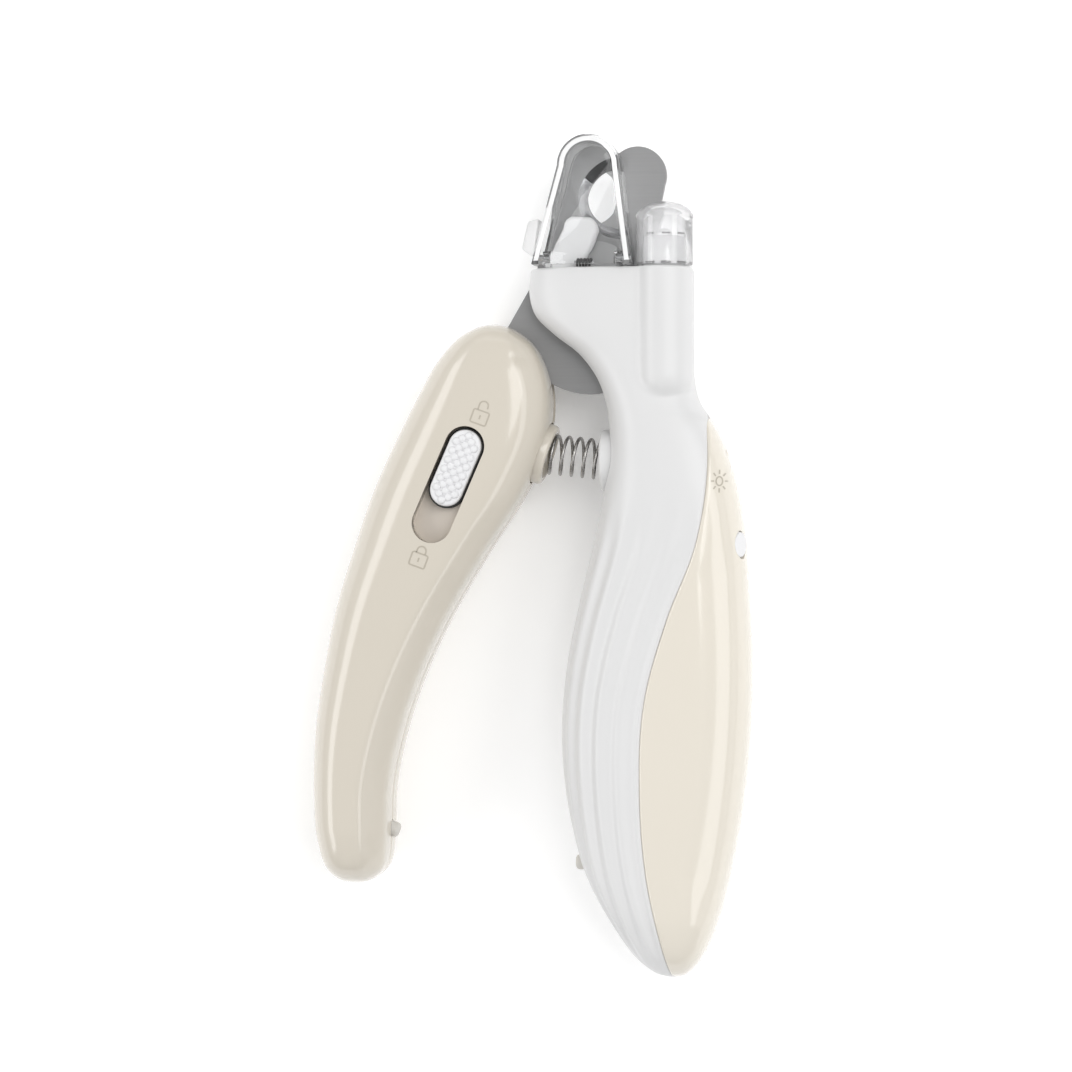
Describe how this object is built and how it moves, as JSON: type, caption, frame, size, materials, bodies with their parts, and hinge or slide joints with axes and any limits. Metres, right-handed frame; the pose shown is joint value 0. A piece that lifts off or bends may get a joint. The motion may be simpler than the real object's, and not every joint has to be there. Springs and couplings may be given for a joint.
{
  "type": "pet nail trimmer",
  "caption": "Pliers-type claw trimmer: two notched blades closed by a sprung lever, with a lamp, a clear clippings guard and a sliding lock",
  "frame": {"origin": "on the pivot axis, in the plane the tool rests on, which is the flat back face of the pivot bolt", "axes": "+X to the right, away from the lever; +Y from the handles toward the blades; +Z from the back to the front of the tool"},
  "size_m": [0.0784, 0.1496, 0.022],
  "materials": {
    "white": "smooth satin white",
    "cream": "glossy warm cream",
    "steel": "ground steel",
    "black": "matt black",
    "taupe": "matt grey brown",
    "rubber": "matt cream rubber",
    "clear": "clear polished plastic",
    "board": "green circuit board"
  },
  "bodies": {
    "grip": {"lamp_holder": "white", "nail_stop": "white", "grip_front_shell": "white", "grip_back_shell": "white", "battery_door": "white", "grip_spring_boss": "white", "grip_cover": "cream", "fixed_blade": "steel", "hub_plate": "steel", "pivot_bolt": "steel", "pivot_nut": "steel", "contact_low": "steel", "cell_1": "steel", "cell_2": "steel", "cell_3": "steel", "contact_high": "steel", "guard_pin": "steel", "guard_spring": "steel", "grip_screw_1": "steel", "grip_screw_2": "steel", "grip_screw_3": "steel", "lamp_lens": "clear", "lamp": "clear", "lamp_board": "board", "control_board": "board", "light_switch": "black", "grip_bumper": "rubber", "return_spring": "steel"},
    "lever": {"lever_front_shell": "cream", "lever_back_shell": "cream", "moving_blade": "steel", "slot_plate": "taupe", "lever_spring_boss": "cream", "lever_bumper": "rubber", "lever_screw_1": "steel", "lever_screw_2": "steel"},
    "lock": {"lock_slider": "white", "lock_carriage": "black", "lock_bolt": "steel"},
    "guard": {"guard": "clear"},
    "light_button": {"light_button": "white"}
  },
  "joints": [
    {"name": "squeeze", "type": "hinge", "parent": "grip", "child": "lever", "pos_m": [0, 0, 0], "axis": [0, 0, 1], "range_deg": [0, 18.7], "stiffness_Nm_per_rad": 0.3, "springref_deg": -6.88, "deforming": ["return_spring"]},
    {"name": "lock_slide", "type": "slide", "parent": "lever", "child": "lock", "axis": [-0.3981, -0.9173, 0], "range_m": [0, 0.0064]},
    {"name": "guard_flip", "type": "hinge", "parent": "grip", "child": "guard", "pos_m": [0, 0.0099, 0.0206], "axis": [1, 0, 0], "range_deg": [0, 85], "stiffness_Nm_per_rad": 0.002, "springref_deg": -17.19},
    {"name": "button_push", "type": "slide", "parent": "grip", "child": "light_button", "axis": [-0.9135, 0, -0.4067], "range_m": [0, 0.0008], "stiffness_N_per_m": 400}
  ]
}
